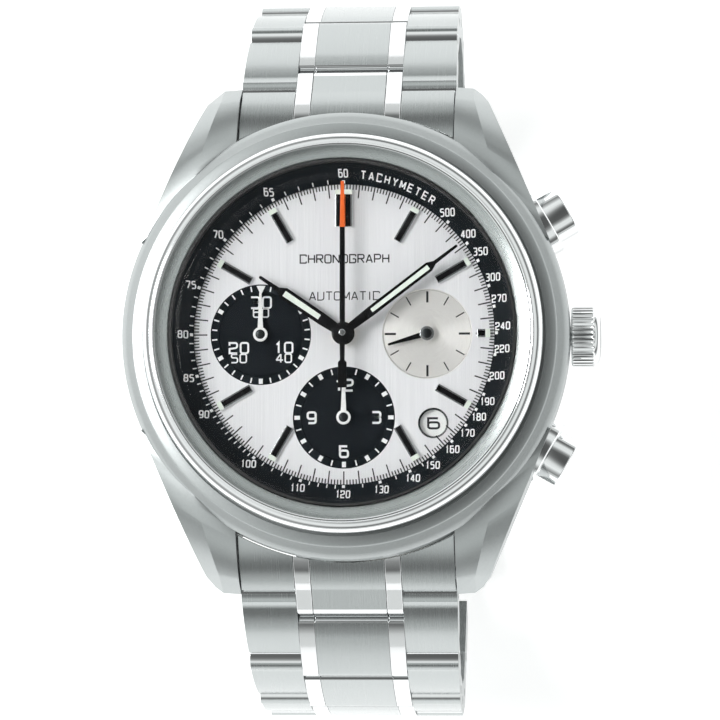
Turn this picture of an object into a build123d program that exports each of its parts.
from build123d import *
import os
from math import acos, atan2, cos, degrees, radians, sin, sqrt

os.makedirs("parts", exist_ok=True)

# ---- watch body ----
case_radius = 20.6
case_bore = 17.0
case_floor = 1.2
bezel_seat = 9.5
bezel_outer = 18.15
bezel_inner = 15.75
bezel_top = 12.8
crystal_radius = 15.5
crystal_base = 11.4
crystal_top = 16.0
lug_gap = 20.0
lug_flank_angle = 23
lug_tip = 23.7
side_axis_height = 5.0
pusher_angle = 30

# ---- dial and hands ----
dial_radius = 14.35
dial_top = 9.6
dial_thickness = 0.5
subdial_offset = 7.6
subdial_depth = 0.15
date_radius = 11.5
date_angle = -45
hand_thickness = 0.2

# ---- movement ----
plate_radius = 14.3
plate_floor = 6.6
plate_top = 9.1
bridge_floor = 3.5
bridge_top = 4.4
train_radius = 12.4
pivot_radius = 0.14
tooth_gap = 0.03

# ---- bracelet ----
link_pitch = 8.2
link_half = 1.5
link_nose = 0.35
link_relief = 1.97
pin_radius = 0.6
pin_bore = 0.62
row_gap = 0.02
center_half = 3.425
strip_half = 4.925
first_pin = (23.65, 1.5)
end_link_angle = 42
link_angles = (46, 68, 82, 95, 115, 142)
link_widths = (20.0, 19.6, 19.2, 18.8, 18.4, 18.0, 18.0)


def polar(radius, angle):
    return (radius * cos(radians(angle)), radius * sin(radians(angle)))


def flat(height):
    return Plane(origin=(0, 0, height))


def radial(angle, distance):
    """Plane facing outwards at one clock position, centred on the side axis."""
    out = polar(1, angle)
    return Plane(
        origin=(distance * out[0], distance * out[1], side_axis_height),
        x_dir=(-out[1], out[0], 0),
        z_dir=(out[0], out[1], 0),
    )


def clock(center, angle, height):
    """Plane whose y axis points to a clock angle, measured clockwise from 12."""
    turn = radians(angle)
    return Plane(origin=(center[0], center[1], height), x_dir=(cos(turn), -sin(turn), 0), z_dir=(0, 0, 1))


# ================= watch body =================
flank = polar(case_radius, lug_flank_angle)
flank_x = (case_radius - lug_tip * sin(radians(lug_flank_angle))) / cos(radians(lug_flank_angle))

with BuildPart() as case_body:
    with BuildSketch():
        with BuildLine():
            Polyline(
                (lug_gap / 2, 12),
                (lug_gap / 2, lug_tip),
                (flank_x, lug_tip),
                flank,
                (17.2, 8.0),
                (lug_gap / 2, 12),
            )
        make_face()
        mirror(about=Plane.YZ)
        mirror(about=Plane.XZ)
    extrude(amount=12)
    with BuildSketch(Plane.YZ):
        with BuildLine():
            Polyline((0, 9.4), (13.5, 9.4))
            ThreePointArc((13.5, 9.4), (20.0, 7.55), (23.6, 3.5))
            Polyline((23.6, 3.5), (23.3, 1.9), (22.0, 1.2), (0, 1.2), (0, 9.4))
        make_face()
        mirror(about=Plane.YZ)
    extrude(amount=25, both=True, mode=Mode.INTERSECT)
    with BuildSketch(Plane.XZ):
        with BuildLine():
            Polyline((case_bore, bezel_seat), (case_bore, case_floor), (18.3, case_floor), (19.6, 2.2))
            ThreePointArc((19.6, 2.2), (20.55, 6.0), (20.45, 8.8))
            Polyline((20.45, 8.8), (19.95, 9.5), (19.4, 9.82), (19.25, 9.98))
            Polyline((19.25, 9.98), (18.35, 10.1), (18.35, bezel_seat), (case_bore, bezel_seat))
        make_face()
    revolve(axis=Axis.Z)
    with BuildSketch(flat(case_floor)):
        Circle(case_bore)
    extrude(amount=10, mode=Mode.SUBTRACT)
    with BuildSketch(flat(9.0)):
        Circle(case_bore + 0.3)
        Circle(15.85, mode=Mode.SUBTRACT)
    extrude(amount=bezel_seat - 9.0)
    with BuildSketch(flat(case_floor)):
        Circle(17.7)
        Circle(17.2, mode=Mode.SUBTRACT)
    extrude(amount=0.4, mode=Mode.SUBTRACT)
    with BuildSketch(radial(0, 16)):
        Circle(1.2)
    extrude(amount=6, mode=Mode.SUBTRACT)
    with BuildSketch(radial(pusher_angle, 16), radial(-pusher_angle, 16)):
        Circle(1.5)
    extrude(amount=6, mode=Mode.SUBTRACT)
    with BuildSketch(radial(pusher_angle, 19.4), radial(-pusher_angle, 19.4)):
        Circle(3.05)
    extrude(amount=4, mode=Mode.SUBTRACT)
    with BuildSketch(Plane.YZ):
        with Locations((21.4, 3.4), (-21.4, 3.4)):
            Circle(0.45)
    extrude(amount=11.2, both=True, mode=Mode.SUBTRACT)
case_body.part.label = "case_body"
export_step(case_body.part, "parts/case_body.step")


def ring_part(label, points):
    """Solid of revolution from a closed half profile of radius and height."""
    with BuildPart() as ring:
        with BuildSketch(Plane.XZ):
            with BuildLine():
                Polyline(*points, close=True)
            make_face()
        revolve(axis=Axis.Z)
    ring.part.label = label
    export_step(ring.part, "parts/" + label + ".step")


with BuildPart() as bezel:
    with BuildSketch(Plane.XZ):
        with BuildLine():
            Polyline((17.25, bezel_top - 0.05), (17.1, bezel_top - 0.12), (17.0, bezel_top))
            Polyline((17.0, bezel_top), (bezel_inner, 12.3), (bezel_inner, bezel_seat))
            Polyline((bezel_inner, bezel_seat), (bezel_outer, bezel_seat), (bezel_outer, 11.4))
            ThreePointArc((bezel_outer, 11.4), (17.9, 12.35), (17.25, bezel_top - 0.05))
        make_face()
    revolve(axis=Axis.Z)
bezel.part.label = "bezel"
export_step(bezel.part, "parts/bezel.step")

def dome_middle(reach, top, drop):
    """Halfway point of a shallow dome whose centre lies on the main axis."""
    radius = (reach**2 + drop**2) / (2 * drop)
    return (reach / 2, top - radius + sqrt(radius**2 - reach**2 / 4))


with BuildPart() as crystal:
    with BuildSketch(Plane.XZ):
        with BuildLine():
            Polyline((0, 14.7), (0, crystal_top))
            ThreePointArc((0, crystal_top), dome_middle(14.3, crystal_top, 0.5), (14.3, 15.5))
            ThreePointArc((14.3, 15.5), (15.15, 15.1), (crystal_radius, 14.3))
            Polyline((crystal_radius, 14.3), (crystal_radius, crystal_base), (14.35, crystal_base))
            Polyline((14.35, crystal_base), (14.35, 13.6), (13.6, 14.3))
            ThreePointArc((13.6, 14.3), dome_middle(13.6, 14.7, 0.4), (0, 14.7))
        make_face()
    revolve(axis=Axis.Z)
crystal.part.label = "crystal"
export_step(crystal.part, "parts/crystal.step")

ring_part(
    "tachymeter_ring",
    [(13.7, dial_top), (15.7, dial_top), (15.7, crystal_base), (15.0, crystal_base), (13.7, 9.9)],
)
ring_part(
    "case_back_ring",
    [(13.7, 0), (17.6, 0), (18.2, 0.5), (18.2, case_floor), (16.95, case_floor), (16.95, 2.5), (15.6, 2.5)]
    + [(15.6, case_floor), (13.0, case_floor), (13.0, 0.9), (13.7, 0.9)],
)
ring_part("case_back_glass", [(0, 0), (13.6, 0), (13.6, 0.9), (0, 0.9)])

with BuildPart() as gaskets:
    with BuildSketch(flat(crystal_base)):
        Circle(bezel_inner)
        Circle(crystal_radius, mode=Mode.SUBTRACT)
    extrude(amount=1.0)
    with BuildSketch(flat(case_floor)):
        Circle(17.7)
        Circle(17.2, mode=Mode.SUBTRACT)
    extrude(amount=0.4)
gaskets.part.label = "gaskets"
export_step(gaskets.part, "parts/gaskets.step")

# ================= dial =================
date_center = polar(date_radius, date_angle)
left_center = (-subdial_offset, 0)
right_center = (subdial_offset, 0)
lower_center = (0, -subdial_offset)

with BuildPart() as dial:
    with BuildSketch(flat(dial_top - dial_thickness)):
        Circle(dial_radius)
        Circle(0.9, mode=Mode.SUBTRACT)
        with Locations(left_center, right_center, lower_center):
            Circle(0.3, mode=Mode.SUBTRACT)
        with Locations(date_center):
            Circle(1.2, mode=Mode.SUBTRACT)
    extrude(amount=dial_thickness)
    with BuildSketch(flat(dial_top - subdial_depth)):
        with Locations(left_center):
            Circle(4.6)
        with Locations(lower_center):
            Circle(4.65)
        with Locations(right_center):
            Circle(4.1)
    extrude(amount=1, mode=Mode.SUBTRACT)
    with BuildSketch(flat(dial_top - subdial_depth)):
        with Locations(left_center):
            Circle(4.45)
            Circle(3.85, mode=Mode.SUBTRACT)
        with Locations(lower_center):
            Circle(4.5)
            Circle(3.9, mode=Mode.SUBTRACT)
    extrude(amount=0.06)
    window_rim = dial.edges().filter_by(GeomType.CIRCLE).group_by(Axis.Z)[-1].filter_by(
        lambda edge: abs(edge.radius - 1.2) < 0.01
    )
    chamfer(window_rim, length=0.18)
dial.part.label = "dial"
export_step(dial.part, "parts/dial.step")

with BuildPart() as hour_markers:
    for angle in (30, 60, 120, 150, 210, 240, 300, 330):
        with BuildSketch(clock((0, 0), angle, dial_top)):
            with Locations((0, 11.75)):
                Rectangle(0.8, 3.7)
        extrude(amount=0.35)
    with BuildSketch(flat(dial_top)):
        with Locations((-0.47, 11.75), (0.47, 11.75)):
            Rectangle(0.8, 3.7)
        with Locations((12.65, 0)):
            Rectangle(1.5, 0.8)
    extrude(amount=0.35)
    chamfer(hour_markers.faces().group_by(Axis.Z)[-1].edges(), length=0.1)
hour_markers.part.label = "hour_markers"
export_step(hour_markers.part, "parts/hour_markers.step")

with BuildPart() as date_disc:
    with BuildSketch(flat(8.8)):
        Circle(13.2)
        Circle(9.9, mode=Mode.SUBTRACT)
        with PolarLocations(9.9, 31):
            Rectangle(0.8, 0.9, mode=Mode.SUBTRACT)
    extrude(amount=0.2)
date_disc.part.label = "date_disc"
export_step(date_disc.part, "parts/date_disc.step")


def toothed(radius, teeth, depth):
    """Wheel outline cut inwards from the rolling circle, so that meshing wheels never touch."""
    Circle(radius - tooth_gap)
    with PolarLocations(radius - tooth_gap, teeth):
        Rectangle(2 * depth, 3.1 * radius / teeth, mode=Mode.SUBTRACT)


def windows(inner, outer, spokes, spoke_width):
    """Openings that leave crossed spokes in a wheel."""
    with BuildSketch(mode=Mode.PRIVATE) as opening:
        Circle(outer)
        Circle(inner, mode=Mode.SUBTRACT)
        with PolarLocations(0, spokes):
            Rectangle(2 * outer + 1, spoke_width, mode=Mode.SUBTRACT)
    add(opening.sketch, mode=Mode.SUBTRACT)


# ================= center hands =================
with BuildPart() as hour_hand:
    with BuildSketch(clock((0, 0), -55.7, 10.45)):
        with BuildLine():
            Polyline((-0.45, 0), (-0.62, 2.4), (-0.62, 6.7), (-0.2, 7.4), (-0.12, 9.25), (0, 9.35))
            mirror(about=Plane.YZ)
            Line((-0.45, 0), (0.45, 0))
        make_face()
        Circle(1.05)
        Circle(0.5, mode=Mode.SUBTRACT)
    extrude(amount=hand_thickness)
    with BuildSketch(flat(8.6)):
        Circle(0.8)
        Circle(0.5, mode=Mode.SUBTRACT)
    extrude(amount=1.9)
    with BuildSketch(flat(8.6)):
        toothed(2.88, 48, 0.22)
        Circle(0.6, mode=Mode.SUBTRACT)
    extrude(amount=0.15)
hour_hand.part.label = "hour_hand"
export_step(hour_hand.part, "parts/hour_hand.step")

with BuildPart() as minute_hand:
    with BuildSketch(clock((0, 0), 52.8, 10.95)):
        with BuildLine():
            Polyline((-0.4, 0), (-0.5, 3.2), (-0.5, 9.9), (-0.16, 10.5), (-0.12, 13.0), (0, 13.1))
            mirror(about=Plane.YZ)
            Line((-0.4, 0), (0.4, 0))
        make_face()
        Circle(0.95)
        Circle(0.22, mode=Mode.SUBTRACT)
    extrude(amount=hand_thickness)
    with BuildSketch(flat(7.95)):
        Circle(0.45)
        Circle(0.22, mode=Mode.SUBTRACT)
    extrude(amount=3.1)
    with BuildSketch(flat(7.95)):
        toothed(0.9, 12, 0.2)
        Circle(0.3, mode=Mode.SUBTRACT)
    extrude(amount=0.45)
minute_hand.part.label = "minute_hand"
export_step(minute_hand.part, "parts/minute_hand.step")

minute_wheel_center = polar(3.6, 135)
with BuildPart() as minute_wheel:
    with BuildSketch(Plane(origin=(*minute_wheel_center, 8.1))):
        toothed(2.7, 36, 0.2)
    extrude(amount=0.15)
    with BuildSketch(Plane(origin=(*minute_wheel_center, 8.25))):
        toothed(0.72, 12, 0.16)
    extrude(amount=0.55)
    with BuildSketch(Plane(origin=(*minute_wheel_center, 7.5))):
        Circle(0.25)
    extrude(amount=0.7)
minute_wheel.part.label = "minute_wheel"
export_step(minute_wheel.part, "parts/minute_wheel.step")

with BuildPart() as chrono_seconds_hand:
    with BuildSketch(flat(11.4)):
        with BuildLine():
            Polyline((-0.4, -5.0), (-0.4, -2.6), (-0.2, -0.9), (-0.22, 9.0), (-0.14, 13.8))
            mirror(about=Plane.YZ)
            Line((-0.4, -5.0), (0.4, -5.0))
            Line((-0.14, 13.8), (0.14, 13.8))
        make_face()
        Circle(0.8)
    extrude(amount=0.15)
    with BuildSketch(flat(11.55)):
        Circle(0.3)
    extrude(amount=0.2)
    with BuildSketch(flat(4.0)):
        Circle(0.16)
    extrude(amount=7.5)
chrono_seconds_hand.part.label = "chrono_seconds_hand"
export_step(chrono_seconds_hand.part, "parts/chrono_seconds_hand.step")


def counter_hand(label, center, angle, length):
    """Small hand on a ring hub, with its own arbor when it is not on a train wheel."""
    with BuildPart() as hand:
        with BuildSketch(clock(center, angle, 9.95)):
            with BuildLine():
                Line((-0.28, 0), (-0.1, length))
                mirror(about=Plane.YZ)
                Line((-0.28, 0), (0.28, 0))
                Line((-0.1, length), (0.1, length))
            make_face()
            Circle(0.65)
        extrude(amount=0.15)
        with BuildSketch(clock(center, angle, 10.1)):
            Circle(0.25)
        extrude(amount=0.1)
        if label != "small_seconds_hand":
            with BuildSketch(clock(center, angle, 7.7)):
                Circle(0.18)
            extrude(amount=2.3)
    hand.part.label = label
    export_step(hand.part, "parts/" + label + ".step")


counter_hand("minute_counter_hand", left_center, 0, 3.9)
counter_hand("hour_counter_hand", lower_center, 0, 3.9)
counter_hand("small_seconds_hand", right_center, 254, 3.7)

# ================= going train =================
center_wheel_radius = 3.75
third_pinion_radius = center_wheel_radius / 7.5
third_wheel_radius = 3.28
fourth_pinion_radius = third_wheel_radius / 8
fourth_wheel_radius = 2.4
escape_pinion_radius = 0.3
barrel_radius = 4.6
center_pinion_radius = 0.75
third_reach = center_wheel_radius + third_pinion_radius
fourth_reach = third_wheel_radius + fourth_pinion_radius
third_x = (third_reach**2 - fourth_reach**2 + subdial_offset**2) / (2 * subdial_offset)
third_center = (third_x, sqrt(third_reach**2 - third_x**2))
escape_step = polar(fourth_wheel_radius + escape_pinion_radius, -60)
escape_center = (subdial_offset + escape_step[0], escape_step[1])
fork_step = polar(2.45, -135)
fork_center = (escape_center[0] + fork_step[0], escape_center[1] + fork_step[1])
balance_step = polar(3.1, -135)
balance_center = (fork_center[0] + balance_step[0], fork_center[1] + balance_step[1])
barrel_center = polar(barrel_radius + center_pinion_radius, 160)


def train_wheel(label, center, discs, arbor_floor, arbor_top, arbor_radius, bore):
    """Arbor with toothed discs; each disc is floor, height, radius, teeth, spokes."""
    with BuildPart() as wheel:
        with BuildSketch(Plane(origin=(*center, arbor_floor))):
            Circle(arbor_radius)
        extrude(amount=arbor_top - arbor_floor)
        for floor, height, radius, teeth, spokes in discs:
            with BuildSketch(Plane(origin=(*center, floor))):
                toothed(radius, teeth, min(0.25, radius * 0.25))
                if spokes:
                    windows(0.7, radius - 0.6, spokes, 0.35)
            extrude(amount=height)
        if bore:
            with BuildSketch(Plane(origin=(*center, arbor_floor))):
                Circle(bore)
            extrude(amount=arbor_top - arbor_floor, mode=Mode.SUBTRACT)
    wheel.part.label = label
    export_step(wheel.part, "parts/" + label + ".step")


train_wheel(
    "center_wheel", (0, 0),
    [(4.55, 0.15, center_wheel_radius, 75, 5), (5.9, 0.5, center_pinion_radius, 12, 0)],
    4.45, 7.1, 0.4, 0.22,
)
train_wheel(
    "third_wheel", third_center,
    [(4.5, 0.3, third_pinion_radius, 10, 0), (4.95, 0.15, third_wheel_radius, 80, 5)],
    4.1, 6.9, pivot_radius, 0,
)
train_wheel(
    "fourth_wheel", right_center,
    [(4.88, 0.3, fourth_pinion_radius, 10, 0), (5.5, 0.15, fourth_wheel_radius, 64, 4)],
    4.1, 9.95, 0.18, 0,
)
train_wheel(
    "escape_wheel", escape_center,
    [(5.42, 0.3, escape_pinion_radius, 8, 0), (6.0, 0.15, 2.0, 20, 4)],
    4.1, 6.9, pivot_radius, 0,
)

with BuildPart() as mainspring_barrel:
    with BuildSketch(Plane(origin=(*barrel_center, 4.8))):
        Circle(4.3)
    extrude(amount=1.2)
    with BuildSketch(Plane(origin=(*barrel_center, 6.0))):
        toothed(barrel_radius, 72, 0.25)
    extrude(amount=0.3)
    with BuildSketch(Plane(origin=(*barrel_center, 4.1))):
        Circle(0.7)
    extrude(amount=2.8)
mainspring_barrel.part.label = "mainspring_barrel"
export_step(mainspring_barrel.part, "parts/mainspring_barrel.step")

with BuildPart() as pallet_fork:
    with BuildSketch(clock(fork_center, 225, 5.95)):
        Circle(0.3)
        with Locations((0, 1.1)):
            Rectangle(0.22, 2.2)
        with Locations((-0.2, 2.3), (0.2, 2.3)):
            Rectangle(0.12, 0.4)
        with Locations((0, 2.15)):
            Rectangle(0.5, 0.14)
        with Locations((0, -0.1)):
            Rectangle(2.6, 0.25)
    extrude(amount=0.2)
    with BuildSketch(Plane(origin=(*fork_center, 5.35))):
        Circle(pivot_radius)
    extrude(amount=1.55)
pallet_fork.part.label = "pallet_fork"
export_step(pallet_fork.part, "parts/pallet_fork.step")

with BuildPart() as balance_wheel:
    with BuildSketch(Plane(origin=(*balance_center, 4.9))):
        Circle(3.6)
        windows(0.5, 3.1, 2, 0.4)
    extrude(amount=0.3)
    with BuildSketch(Plane(origin=(*balance_center, 5.5))):
        Circle(0.45)
    extrude(amount=0.2)
    with BuildSketch(Plane(origin=(*balance_center, 4.1))):
        Circle(pivot_radius)
    extrude(amount=2.8)
    with BuildSketch(clock(balance_center, 45, 5.7)):
        with Locations((0, 0.33)):
            Circle(0.08)
    extrude(amount=0.45)
balance_wheel.part.label = "balance_wheel"
export_step(balance_wheel.part, "parts/balance_wheel.step")

with BuildPart() as hairspring:
    with BuildSketch(Plane(origin=(*balance_center, 4.55))):
        Circle(0.4)
        Circle(pivot_radius + 0.01, mode=Mode.SUBTRACT)
    extrude(amount=0.15)
    for turn in range(6):
        with BuildSketch(Plane(origin=(*balance_center, 4.6))):
            Circle(0.6 + 0.25 * turn)
            Circle(0.55 + 0.25 * turn, mode=Mode.SUBTRACT)
        extrude(amount=0.1)
    with BuildSketch(clock(balance_center, 100, 4.6)):
        with Locations((0, 1.12)):
            Rectangle(0.06, 1.5)
    extrude(amount=0.1)
hairspring.part.label = "hairspring"
export_step(hairspring.part, "parts/hairspring.step")

# ================= plates =================
pivot_centers = (third_center, escape_center, fork_center, balance_center)
pillar_centers = (polar(9.9, 60), polar(10.6, 215), polar(11.4, -28))
bridge_feet = (polar(11.2, 100), polar(11.2, 250))

with BuildPart() as main_plate:
    with BuildSketch(flat(plate_floor)):
        Circle(plate_radius)
    extrude(amount=plate_top - plate_floor)
    with BuildSketch(flat(bridge_floor)):
        Circle(plate_radius)
        Circle(train_radius + 0.05, mode=Mode.SUBTRACT)
    extrude(amount=plate_floor - bridge_floor)
    with BuildSketch(flat(bridge_top)):
        with Locations(polar(9.9, 60), polar(11.0, 215), polar(10.9, 100)):
            Circle(0.8)
    extrude(amount=plate_floor - bridge_top)
    with BuildSketch(flat(7.9)):
        Circle(6.7)
    extrude(amount=2, mode=Mode.SUBTRACT)
    with BuildSketch(flat(8.7)):
        Circle(13.4)
        Circle(9.7, mode=Mode.SUBTRACT)
    extrude(amount=1, mode=Mode.SUBTRACT)
    with BuildSketch(flat(plate_floor)):
        with Locations(*pivot_centers):
            Circle(pivot_radius + 0.04)
        with Locations(barrel_center):
            Circle(0.75)
        Circle(0.45)
    extrude(amount=0.4, mode=Mode.SUBTRACT)
    with BuildSketch(flat(plate_floor)):
        Circle(0.45)
        with Locations(right_center):
            Circle(0.22)
    extrude(amount=3, mode=Mode.SUBTRACT)
    with BuildSketch(flat(7.4)):
        with Locations(minute_wheel_center):
            Circle(0.29)
    extrude(amount=1, mode=Mode.SUBTRACT)
    with BuildSketch(flat(7.6)):
        with Locations(left_center, lower_center):
            Circle(0.22)
    extrude(amount=2, mode=Mode.SUBTRACT)
    with BuildSketch(radial(0, 11)):
        Circle(0.5)
    extrude(amount=4, mode=Mode.SUBTRACT)
    with BuildSketch(radial(0, 12)):
        with Locations((0, 0.3)):
            Rectangle(3.6, 1.9)
    extrude(amount=1.5, mode=Mode.SUBTRACT)
main_plate.part.label = "main_plate"
export_step(main_plate.part, "parts/main_plate.step")

with BuildPart() as train_bridge:
    with BuildSketch(flat(bridge_floor)):
        Circle(train_radius)
        with Locations(balance_center):
            Circle(4.1, mode=Mode.SUBTRACT)
        with Locations(polar(12.2, -51)):
            Circle(3.4, mode=Mode.SUBTRACT)
        with Locations(third_center, escape_center, fork_center):
            Circle(pivot_radius + 0.04, mode=Mode.SUBTRACT)
        with Locations(right_center):
            Circle(0.22, mode=Mode.SUBTRACT)
        with Locations(barrel_center):
            Circle(0.75, mode=Mode.SUBTRACT)
        Circle(0.2, mode=Mode.SUBTRACT)
    extrude(amount=bridge_top - bridge_floor)
train_bridge.part.label = "train_bridge"
export_step(train_bridge.part, "parts/train_bridge.step")

cock_foot = polar(11.3, -51)
cock_turn = 90 - degrees(atan2(cock_foot[1] - balance_center[1], cock_foot[0] - balance_center[0]))
with BuildPart() as balance_cock:
    with BuildSketch(clock(balance_center, cock_turn, bridge_floor)):
        Circle(1.1)
        with Locations((0, 2.0)):
            Rectangle(1.6, 4.6)
        Circle(pivot_radius + 0.04, mode=Mode.SUBTRACT)
    extrude(amount=0.9)
balance_cock.part.label = "balance_cock"
export_step(balance_cock.part, "parts/balance_cock.step")

with BuildPart() as movement_holder:
    with BuildSketch(flat(2.5)):
        Circle(16.9)
        Circle(14.35, mode=Mode.SUBTRACT)
    extrude(amount=6.5)
    with BuildSketch(radial(0, 14)):
        Circle(1.4)
    extrude(amount=4, mode=Mode.SUBTRACT)
    with BuildSketch(radial(pusher_angle, 15.2), radial(-pusher_angle, 15.2)):
        Circle(1.6)
    extrude(amount=3, mode=Mode.SUBTRACT)
movement_holder.part.label = "movement_holder"
export_step(movement_holder.part, "parts/movement_holder.step")

# ================= winding rotor =================
with BuildPart() as rotor_bearing:
    with BuildSketch(flat(2.3)):
        Circle(1.3)
    extrude(amount=bridge_floor - 2.3)
    with BuildSketch(flat(2.1)):
        Circle(2.0)
    extrude(amount=0.25)
    with BuildSketch(flat(2.1)):
        Rectangle(1.6, 0.3)
    extrude(amount=0.12, mode=Mode.SUBTRACT)
rotor_bearing.part.label = "rotor_bearing"
export_step(rotor_bearing.part, "parts/rotor_bearing.step")

with BuildPart() as winding_rotor:
    with BuildSketch(flat(2.6)):
        Circle(13.2)
        with Locations((0, 7.5)):
            Rectangle(28, 15, mode=Mode.SUBTRACT)
        Circle(2.6)
        with Locations((-5.2, -5.6), (5.2, -5.6)):
            Circle(2.2, mode=Mode.SUBTRACT)
    extrude(amount=0.5)
    with BuildSketch(flat(1.5)):
        Circle(13.2)
        Circle(10.8, mode=Mode.SUBTRACT)
        with Locations((0, 7.5)):
            Rectangle(28, 15, mode=Mode.SUBTRACT)
    extrude(amount=1.3)
    with BuildSketch(flat(2.6)):
        Circle(1.35)
    extrude(amount=0.5, mode=Mode.SUBTRACT)
winding_rotor.part.label = "winding_rotor"
export_step(winding_rotor.part, "parts/winding_rotor.step")

# ================= winding knob =================
with BuildPart() as crown_tube:
    with BuildSketch(radial(0, 16.9)):
        Circle(1.2)
        Circle(0.55, mode=Mode.SUBTRACT)
    extrude(amount=4.35)
crown_tube.part.label = "crown_tube"
export_step(crown_tube.part, "parts/crown_tube.step")

with BuildPart() as crown:
    with BuildSketch(radial(0, 20.62)):
        Circle(2.75)
        with PolarLocations(2.83, 36):
            Circle(0.17, mode=Mode.SUBTRACT)
    extrude(amount=2.1)
    with BuildSketch(radial(0, 22.7)):
        Circle(2.6)
    extrude(amount=0.3)
    with BuildSketch(radial(0, 23.0)):
        Circle(2.6)
    extrude(amount=0.35, taper=50)
    with BuildSketch(radial(0, 20.62)):
        Circle(1.25)
    extrude(amount=0.95, mode=Mode.SUBTRACT)
crown.part.label = "crown"
export_step(crown.part, "parts/crown.step")

with BuildPart() as winding_stem:
    with BuildSketch(radial(0, 10.6)):
        Rectangle(0.6, 0.6)
    extrude(amount=1.0)
    with BuildSketch(radial(0, 11.6)):
        Circle(0.22)
    extrude(amount=0.6)
    with BuildSketch(radial(0, 12.2)):
        Circle(0.45)
    extrude(amount=9.37)
winding_stem.part.label = "winding_stem"
export_step(winding_stem.part, "parts/winding_stem.step")

with BuildPart() as setting_lever:
    with BuildSketch(radial(0, 11.68)):
        with Locations((0, 0.4)):
            Rectangle(2.4, 1.7)
        Circle(0.26, mode=Mode.SUBTRACT)
    extrude(amount=0.44)
setting_lever.part.label = "setting_lever"
export_step(setting_lever.part, "parts/setting_lever.step")

# ================= pushers =================
with BuildPart() as pusher_tubes:
    with BuildSketch(radial(pusher_angle, 16.9), radial(-pusher_angle, 16.9)):
        Circle(1.5)
    extrude(amount=2.5)
    with BuildSketch(radial(pusher_angle, 19.4), radial(-pusher_angle, 19.4)):
        Circle(3.05)
    extrude(amount=2.0)
    with BuildSketch(radial(pusher_angle, 20.1), radial(-pusher_angle, 20.1)):
        Circle(2.4)
    extrude(amount=2.0, mode=Mode.SUBTRACT)
    with BuildSketch(radial(pusher_angle, 16.9), radial(-pusher_angle, 16.9)):
        Circle(0.55)
    extrude(amount=4.0, mode=Mode.SUBTRACT)
pusher_tubes.part.label = "pusher_tubes"
export_step(pusher_tubes.part, "parts/pusher_tubes.step")


def pusher(label, angle):
    """Round push piece with its stem, and the coil spring around the stem."""
    with BuildPart() as cap:
        with BuildSketch(radial(angle, 21.2)):
            Circle(2.33)
        extrude(amount=2.2)
        chamfer(cap.edges().filter_by(GeomType.CIRCLE), length=0.12)
        with BuildSketch(radial(angle, 17.2)):
            Circle(0.5)
        extrude(amount=4.1)
    cap.part.label = label
    export_step(cap.part, "parts/" + label + ".step")
    with BuildPart() as spring:
        with BuildLine() as coil:
            Helix(0.31, 0.98, 1.2, center=radial(angle, 20.16).origin, direction=radial(angle, 0).z_dir)
        with BuildSketch(Plane(origin=coil.line @ 0, z_dir=coil.line % 0)):
            Circle(0.055)
        sweep()
    spring.part.label = label + "_spring"
    export_step(spring.part, "parts/" + label + "_spring.step")


pusher("start_pusher", pusher_angle)
pusher("reset_pusher", -pusher_angle)


# ================= bracelet =================
def link_plane(side, pin, angle):
    """Plane on a pin: x runs along the link, y points out of the bracelet."""
    turn = radians(angle)
    return Plane(
        origin=(0, side * pin[0], pin[1]),
        x_dir=(0, side * cos(turn), -sin(turn)),
        z_dir=(side, 0, 0),
    )


def cover_plane(side, pin, angle):
    """Plane on a pin: x runs across the link, y along it, z points out of the bracelet."""
    turn = radians(angle)
    return Plane(
        origin=(0, side * pin[0], pin[1]),
        x_dir=(side, 0, 0),
        z_dir=(0, side * sin(turn), cos(turn)),
    )


def next_pin(pin, angle):
    turn = radians(angle)
    return (pin[0] + link_pitch * cos(turn), pin[1] - link_pitch * sin(turn))


def outer_profile():
    """Side view of an outer row piece: round ahead of its own pin, flat short of the next pin."""
    far = link_pitch - link_relief
    with BuildLine() as outline:
        ThreePointArc((-link_nose, link_half), ((far - link_nose) / 2, link_half + 0.12), (far, link_half))
        Polyline((far, link_half), (far, -link_half), (-link_nose, -link_half))
        ThreePointArc((-link_nose, -link_half), (-link_nose - link_half, 0), (-link_nose, link_half))
    return outline.edges()


def middle_profile():
    """Side view of a middle row piece: flat past its own pin, round beyond the next pin."""
    far = link_pitch + link_nose
    with BuildLine() as outline:
        ThreePointArc((link_relief, link_half), ((far + link_relief) / 2, link_half + 0.12), (far, link_half))
        ThreePointArc((far, link_half), (far + link_half, 0), (far, -link_half))
        Polyline((far, -link_half), (link_relief, -link_half), (link_relief, link_half))
    return outline.edges()


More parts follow.
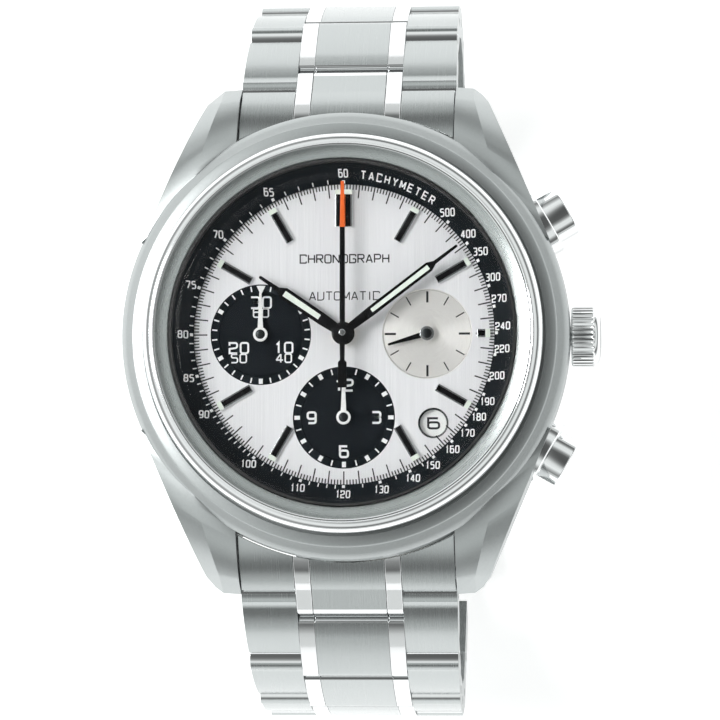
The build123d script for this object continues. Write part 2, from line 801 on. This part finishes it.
def bracelet_link(label, side, pin, angle, start_width, end_width):
    """One link: two outer pieces on a pin, and a middle with two strips that takes the next pin."""
    across = link_plane(side, pin, angle)
    with BuildPart() as link:
        with BuildSketch(across):
            make_face(outer_profile())
            Circle(pin_bore, mode=Mode.SUBTRACT)
        extrude(amount=11, both=True)
        with BuildSketch(cover_plane(side, pin, angle)):
            with BuildLine():
                Polyline(
                    (-start_width / 2, -2), (-start_width / 2, 0), (-end_width / 2, link_pitch),
                    (-end_width / 2, link_pitch + 1), (end_width / 2, link_pitch + 1),
                    (end_width / 2, link_pitch), (start_width / 2, 0), (start_width / 2, -2), close=True,
                )
            make_face()
        extrude(amount=3, both=True, mode=Mode.INTERSECT)
        with BuildSketch(cover_plane(side, pin, angle)):
            Rectangle(2 * (strip_half + row_gap), 40)
        extrude(amount=3, both=True, mode=Mode.SUBTRACT)
        with BuildSketch(across):
            make_face(middle_profile())
            with Locations((link_pitch, 0)):
                Circle(pin_bore, mode=Mode.SUBTRACT)
        extrude(amount=center_half, both=True)
        with BuildSketch(across.offset(center_half + row_gap), across.offset(-strip_half)):
            make_face(middle_profile())
            with Locations((link_pitch, 0)):
                Circle(pin_bore, mode=Mode.SUBTRACT)
        extrude(amount=strip_half - center_half - row_gap)
        with BuildSketch(across.offset(-start_width / 2 + 0.7)):
            Circle(pin_radius)
        extrude(amount=start_width - 1.4)
    link.part.label = label
    export_step(link.part, "parts/" + label + ".step")


chain_pins = [first_pin]
for angle in link_angles:
    chain_pins.append(next_pin(chain_pins[-1], angle))

for side, name in ((1, "link_12_"), (-1, "link_6_")):
    for index, angle in enumerate(link_angles):
        bracelet_link(
            name + str(index + 1), side, chain_pins[index], angle,
            link_widths[index], link_widths[index + 1],
        )


def end_spot(side, x, y):
    """Point beside the first pin, measured along and out of the end link."""
    turn = radians(end_link_angle)
    return (
        side * (first_pin[0] + x * cos(turn) + y * sin(turn)),
        first_pin[1] - x * sin(turn) + y * cos(turn),
    )


with BuildPart() as end_links:
    for side in (1, -1):
        with BuildSketch(Plane.YZ):
            with BuildLine():
                ThreePointArc(end_spot(side, -link_relief, link_half), (side * 20.8, 6.2), (side * 17.5, 8.0))
                Polyline((side * 17.5, 8.0), (side * 17.5, 1.6), (side * 20.2, 1.1))
                Line((side * 20.2, 1.1), end_spot(side, -link_relief, -link_half))
                Line(end_spot(side, -link_relief, -link_half), end_spot(side, -link_relief, link_half))
            make_face()
        extrude(amount=lug_gap / 2 - 0.04, both=True)
        with BuildSketch(link_plane(side, first_pin, end_link_angle)):
            with Locations((link_nose - 1.6, 0)):
                Rectangle(3.2, 2 * link_half)
            with Locations((link_nose, 0)):
                Circle(link_half)
        extrude(amount=strip_half, both=True)
        with BuildSketch(Plane.YZ):
            with Locations((side * 21.4, 3.4)):
                Circle(0.76)
            with Locations((side * first_pin[0], first_pin[1])):
                Circle(pin_bore)
        extrude(amount=12, both=True, mode=Mode.SUBTRACT)
    with BuildSketch(Plane.XY):
        Circle(case_radius + 0.08)
    extrude(amount=12, mode=Mode.SUBTRACT)
end_links.part.label = "end_links"
export_step(end_links.part, "parts/end_links.step")

with BuildPart() as lug_spring_bars:
    with BuildSketch(Plane.YZ):
        with Locations((21.4, 3.4), (-21.4, 3.4)):
            Circle(0.42)
    extrude(amount=11.1, both=True)
    with BuildSketch(Plane.YZ):
        with Locations((21.4, 3.4), (-21.4, 3.4)):
            Circle(0.74)
    extrude(amount=9.7, both=True)
lug_spring_bars.part.label = "lug_spring_bars"
export_step(lug_spring_bars.part, "parts/lug_spring_bars.step")

# ================= folding clasp =================
clasp_radius = 70.0
last_pin = chain_pins[-1]
clasp_center = last_pin[1] + sqrt(clasp_radius**2 - last_pin[0] ** 2)
pin_reach = degrees(atan2(last_pin[0], clasp_center - last_pin[1]))
fold_angle = 10.5
cover_angle = -12.0
fold_radius = 69.6
cover_hinge_radius = 70.05
cover_half = 9.0
blade_half = 5.0


def bow(radius, angle):
    """Point of the clasp bow; the angle is measured from straight down, positive towards 12."""
    return (radius * sin(radians(angle)), clasp_center - radius * cos(radians(angle)))


def sector(inner, outer, start, end):
    """Closed strip of the clasp bow between two radii and two angles."""
    middle = (start + end) / 2
    with BuildLine() as outline:
        ThreePointArc(bow(inner, start), bow(inner, middle), bow(inner, end))
        Line(bow(inner, end), bow(outer, end))
        ThreePointArc(bow(outer, end), bow(outer, middle), bow(outer, start))
        Line(bow(outer, start), bow(inner, start))
    return outline.edges()


with BuildPart() as clasp_cover:
    with BuildSketch(Plane.YZ):
        make_face(sector(70.7, 71.5, -17.2, 17.0))
    extrude(amount=cover_half, both=True)
    with BuildSketch(Plane.YZ.offset(8.0), Plane.YZ.offset(-cover_half)):
        make_face(sector(68.9, 70.8, -17.2, 17.0))
    extrude(amount=cover_half - 8.0)
    with BuildSketch(Plane.YZ.offset(5.1), Plane.YZ.offset(-cover_half)):
        make_face(sector(68.7, 71.3, 16.4, pin_reach))
        with Locations(last_pin):
            Circle(1.3)
    extrude(amount=cover_half - 5.1)
    with BuildSketch(Plane.YZ):
        with Locations(bow(cover_hinge_radius, cover_angle)):
            Circle(0.3)
    extrude(amount=8.2, both=True)
    with BuildSketch(Plane(origin=(0, *bow(69.8, -5)), x_dir=(0, 1, 0), z_dir=(1, 0, 0))):
        Rectangle(4.3, 1.36)
    extrude(amount=12, both=True, mode=Mode.SUBTRACT)
clasp_cover.part.label = "clasp_cover"
export_step(clasp_cover.part, "parts/clasp_cover.step")

with BuildPart() as clasp_inner_blade:
    with BuildSketch(Plane.YZ):
        make_face(sector(68.6, 69.4, -17.3, fold_angle - 0.3))
    extrude(amount=blade_half, both=True)
    with BuildSketch(Plane.YZ):
        make_face(sector(68.6, 70.6, -17.3, -16.6))
    extrude(amount=6.4, both=True)
    with BuildSketch(Plane.YZ.offset(5.1), Plane.YZ.offset(-6.4)):
        make_face(sector(68.7, 70.6, -pin_reach, -16.6))
        with Locations((-last_pin[0], last_pin[1])):
            Circle(1.3)
    extrude(amount=1.3)
    with BuildSketch(Plane.YZ):
        with Locations((-last_pin[0], last_pin[1])):
            Circle(pin_radius)
    extrude(amount=6.4, both=True)
    with BuildSketch(Plane.YZ):
        with Locations(bow(fold_radius, fold_angle)):
            Circle(0.9)
    extrude(amount=blade_half, both=True)
    with BuildSketch(Plane.YZ):
        with Locations(bow(fold_radius, fold_angle)):
            Circle(1.05)
    extrude(amount=2.5, both=True, mode=Mode.SUBTRACT)
    with BuildSketch(Plane.YZ):
        with Locations(bow(fold_radius, fold_angle)):
            Circle(0.4)
    extrude(amount=2.6, both=True)
    with BuildSketch(Plane.XY.offset(clasp_center - 72)):
        with Locations((0, bow(69, -3)[0])):
            SlotOverall(9, 3.2, rotation=90)
    extrude(amount=8, mode=Mode.SUBTRACT)
clasp_inner_blade.part.label = "clasp_inner_blade"
export_step(clasp_inner_blade.part, "parts/clasp_inner_blade.step")

with BuildPart() as clasp_middle_blade:
    with BuildSketch(Plane.YZ):
        make_face(sector(69.75, 70.45, cover_angle, fold_angle))
    extrude(amount=4.9, both=True)
    with BuildSketch(Plane.YZ):
        with Locations(bow(fold_radius, fold_angle)):
            Circle(1.05)
    extrude(amount=6, both=True, mode=Mode.SUBTRACT)
    with BuildSketch(Plane.YZ):
        with Locations(bow(fold_radius, fold_angle)):
            Circle(0.9)
        make_face(sector(69.75, 70.45, fold_angle - 1.2, fold_angle))
        with Locations(bow(fold_radius, fold_angle)):
            Circle(0.43, mode=Mode.SUBTRACT)
    extrude(amount=2.4, both=True)
    with BuildSketch(Plane.YZ):
        with Locations(bow(cover_hinge_radius, cover_angle)):
            Circle(0.6)
    extrude(amount=4.9, both=True)
    with BuildSketch(Plane.YZ):
        with Locations(bow(cover_hinge_radius, cover_angle)):
            Circle(0.33)
    extrude(amount=6, both=True, mode=Mode.SUBTRACT)
    with BuildSketch(Plane.XY.offset(clasp_center - 72)):
        with Locations((0, bow(70, 2)[0])):
            SlotOverall(8, 4, rotation=90)
    extrude(amount=8, mode=Mode.SUBTRACT)
clasp_middle_blade.part.label = "clasp_middle_blade"
export_step(clasp_middle_blade.part, "parts/clasp_middle_blade.step")

for side, name in ((1, "clasp_button_right"), (-1, "clasp_button_left")):
    seat = Plane(origin=(0, *bow(69.8, -5)), x_dir=(0, 1, 0), z_dir=(side, 0, 0))
    with BuildPart() as button:
        with BuildSketch(seat.offset(6.6)):
            Rectangle(4.2, 1.26)
        extrude(amount=3.1)
        fillet(button.edges().filter_by(Axis.X), radius=0.3)
        chamfer(button.faces().sort_by(Axis.X)[-1 if side > 0 else 0].edges(), length=0.15)
        with BuildSketch(seat.offset(7.2)):
            Rectangle(5.2, 1.26)
        extrude(amount=0.75)
    button.part.label = name
    export_step(button.part, "parts/" + name + ".step")

with BuildPart() as clasp_spring_bar:
    with BuildSketch(Plane.YZ):
        with Locations(last_pin):
            Circle(pin_radius)
    extrude(amount=5.0, both=True)
clasp_spring_bar.part.label = "clasp_spring_bar"
export_step(clasp_spring_bar.part, "parts/clasp_spring_bar.step")
